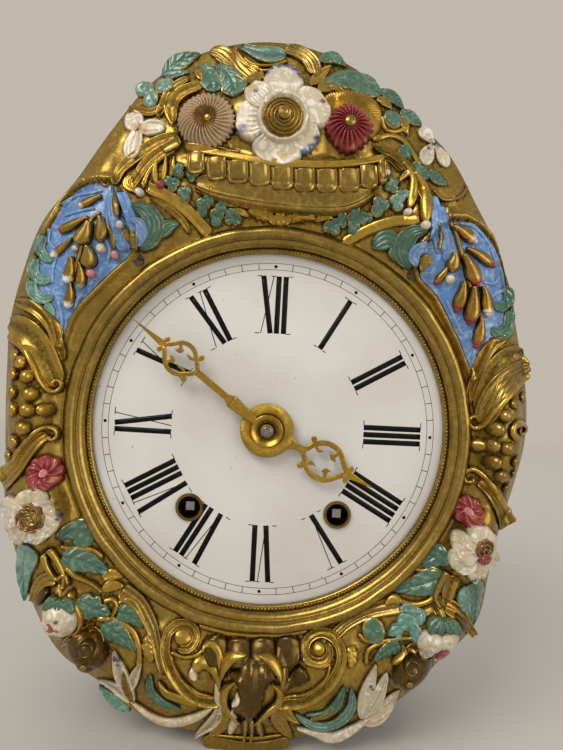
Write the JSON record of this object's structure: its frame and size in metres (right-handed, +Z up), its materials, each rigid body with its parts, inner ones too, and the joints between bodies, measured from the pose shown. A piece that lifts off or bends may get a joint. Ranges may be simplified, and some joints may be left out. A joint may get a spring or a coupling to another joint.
{
  "type": "comtoise clock",
  "caption": "Comtoise wall clock head: embossed, painted brass surround and domed enamel dial on an iron cage with going and striking trains, hammer and bell.",
  "frame": {"origin": "middle of the underside of the bottom plate, where the cage stands on its wall bracket", "axes": "+Z up, the dial faces -Y, +X to the right of someone who reads the dial"},
  "size_m": [0.3083, 0.1916, 0.4144],
  "materials": {
    "embossed_brass": "stamped, gilt and painted",
    "gilt_bezel": "polished, aged",
    "hand_brass": "pierced, aged",
    "wheel_brass": "turned and cut",
    "bell_metal": "turned",
    "enamel": "glossy enamel, crazed",
    "forged_iron": "dark forged",
    "sheet_iron": "dark sheet",
    "steel": "filed steel"
  },
  "bodies": {
    "frame": {"bottom_plate": "forged_iron", "top_plate": "forged_iron", "corner_posts": "forged_iron", "front_bars": "forged_iron", "back_bars": "forged_iron", "cross_strips": "forged_iron", "back_cover": "sheet_iron", "back_cover_screws": "steel", "wall_hoop": "forged_iron", "wall_spikes": "steel", "bell": "bell_metal", "bell_post": "steel", "dial_pillars": "steel", "dial_plate": "sheet_iron", "dial": "enamel", "winding_eyelets": "gilt_bezel", "bezel_ring": "gilt_bezel", "surround": "embossed_brass", "surround_screws": "steel", "motion_studs": "steel", "suspension_cock": "wheel_brass", "rack_guides": "wheel_brass"},
    "left_door": {"left_door": "sheet_iron", "left_door_knob": "wheel_brass"},
    "right_door": {"right_door": "sheet_iron", "right_door_knob": "wheel_brass"},
    "hammer": {"hammer": "steel", "hammer_arbor": "steel"},
    "minute_hand": {"minute_hand": "hand_brass", "hand_nut": "steel", "cannon_wheel": "wheel_brass"},
    "hour_hand": {"hour_hand": "hand_brass", "hour_wheel": "wheel_brass", "snail": "wheel_brass"},
    "minute_wheel": {"minute_wheel": "wheel_brass"},
    "minute_drive": {"minute_drive_wheel": "wheel_brass"},
    "going_great": {"going_great_wheel": "wheel_brass"},
    "going_drum": {"going_drum": "wheel_brass", "going_winding_arbor": "steel"},
    "going_click": {"going_click": "steel"},
    "going_second": {"going_second_wheel": "wheel_brass", "going_second_arbor": "steel"},
    "going_third": {"going_third_wheel": "wheel_brass", "going_third_arbor": "steel"},
    "escape": {"escape_wheel": "wheel_brass", "escape_arbor": "steel"},
    "anchor": {"anchor": "steel", "anchor_arbor": "steel"},
    "strike_great": {"strike_great_wheel": "wheel_brass"},
    "strike_drum": {"strike_drum": "wheel_brass", "strike_winding_arbor": "steel"},
    "strike_click": {"strike_click": "steel"},
    "strike_pins": {"strike_pin_wheel": "wheel_brass", "strike_second_arbor": "steel"},
    "strike_third": {"strike_third_wheel": "wheel_brass", "strike_third_arbor": "steel"},
    "fly": {"fly": "wheel_brass", "fly_arbor": "steel"},
    "rack": {"rack": "steel"},
    "release_lever": {"release_lever": "steel"}
  },
  "joints": [
    {"name": "left_door_swing", "type": "hinge", "parent": "frame", "child": "left_door", "pos_m": [-0.112, 0.059, 0.1135], "axis": [0, 0, -1], "range_deg": [0, 100]},
    {"name": "right_door_swing", "type": "hinge", "parent": "frame", "child": "right_door", "pos_m": [0.112, 0.059, 0.1135], "axis": [0, 0, 1], "range_deg": [0, 100]},
    {"name": "hammer_lift", "type": "hinge", "parent": "frame", "child": "hammer", "pos_m": [-0.085, 0, 0.177], "axis": [0, -1, 0], "range_deg": [0, 10]},
    {"name": "minute_hand_turn", "type": "hinge", "parent": "frame", "child": "minute_hand", "pos_m": [0, -0.09, 0.125], "axis": [0, 1, 0], "continuous": true},
    {"name": "hour_hand_turn", "type": "hinge", "parent": "frame", "child": "hour_hand", "pos_m": [0, -0.09, 0.125], "axis": [0, 1, 0], "continuous": true},
    {"name": "minute_wheel_turn", "type": "hinge", "parent": "frame", "child": "minute_wheel", "pos_m": [0, -0.066, 0.0978], "axis": [0, 1, 0], "continuous": true},
    {"name": "minute_drive_turn", "type": "hinge", "parent": "frame", "child": "minute_drive", "pos_m": [0.0435, -0.0615, 0.125], "axis": [0, 1, 0], "continuous": true},
    {"name": "going_third_turn", "type": "hinge", "parent": "frame", "child": "going_third", "pos_m": [0.02667, 0, 0.15683], "axis": [0, 1, 0], "continuous": true},
    {"name": "going_second_turn", "type": "hinge", "parent": "frame", "child": "going_second", "pos_m": [0.0435, 0, 0.125], "axis": [0, 1, 0], "continuous": true},
    {"name": "going_great_turn", "type": "hinge", "parent": "frame", "child": "going_great", "pos_m": [0.0435, 0, 0.077], "axis": [0, 1, 0], "continuous": true},
    {"name": "escape_turn", "type": "hinge", "parent": "frame", "child": "escape", "pos_m": [0, 0, 0.17], "axis": [0, 1, 0], "continuous": true},
    {"name": "going_winding", "type": "hinge", "parent": "going_great", "child": "going_drum", "pos_m": [0.0435, 0, 0.077], "axis": [0, 1, 0], "continuous": true},
    {"name": "going_click_lift", "type": "hinge", "parent": "going_great", "child": "going_click", "pos_m": [0.0435, 0.0315, 0.107], "axis": [0, 1, 0], "range_deg": [0, 10], "stiffness_Nm_per_rad": 0.02},
    {"name": "anchor_rock", "type": "hinge", "parent": "frame", "child": "anchor", "pos_m": [0, 0, 0.2], "axis": [0, 1, 0], "range_deg": [-3, 3]},
    {"name": "strike_third_turn", "type": "hinge", "parent": "frame", "child": "strike_third", "pos_m": [-0.0435, 0, 0.161], "axis": [0, 1, 0], "continuous": true},
    {"name": "strike_second_turn", "type": "hinge", "parent": "frame", "child": "strike_pins", "pos_m": [-0.0435, 0, 0.125], "axis": [0, 1, 0], "continuous": true},
    {"name": "strike_great_turn", "type": "hinge", "parent": "frame", "child": "strike_great", "pos_m": [-0.0435, 0, 0.077], "axis": [0, 1, 0], "continuous": true},
    {"name": "fly_turn", "type": "hinge", "parent": "frame", "child": "fly", "pos_m": [-0.0435, 0, 0.19075], "axis": [0, 1, 0], "continuous": true},
    {"name": "strike_winding", "type": "hinge", "parent": "strike_great", "child": "strike_drum", "pos_m": [-0.0435, 0, 0.077], "axis": [0, 1, 0], "continuous": true},
    {"name": "strike_click_lift", "type": "hinge", "parent": "strike_great", "child": "strike_click", "pos_m": [-0.0435, 0.0315, 0.107], "axis": [0, 1, 0], "range_deg": [0, 10], "stiffness_Nm_per_rad": 0.02},
    {"name": "rack_rise", "type": "slide", "parent": "frame", "child": "rack", "axis": [0, 0, 1], "range_m": [0, 0.012]},
    {"name": "release_lift", "type": "hinge", "parent": "frame", "child": "release_lever", "pos_m": [-0.0435, -0.065, 0.177], "axis": [0, 1, 0], "range_deg": [0, 12]}
  ],
  "couplings": [
    {"joint": "hour_hand_turn", "follows": "minute_hand_turn", "ratio": 0.083333},
    {"joint": "minute_wheel_turn", "follows": "minute_hand_turn", "ratio": -0.33333},
    {"joint": "minute_drive_turn", "follows": "minute_hand_turn", "ratio": -1},
    {"joint": "going_second_turn", "follows": "going_third_turn", "ratio": -0.125},
    {"joint": "going_great_turn", "follows": "going_third_turn", "ratio": 0.017857},
    {"joint": "escape_turn", "follows": "going_third_turn", "ratio": -7.5},
    {"joint": "strike_second_turn", "follows": "strike_third_turn", "ratio": -0.125},
    {"joint": "strike_great_turn", "follows": "strike_third_turn", "ratio": 0.017857},
    {"joint": "fly_turn", "follows": "strike_third_turn", "ratio": -7.5}
  ]
}
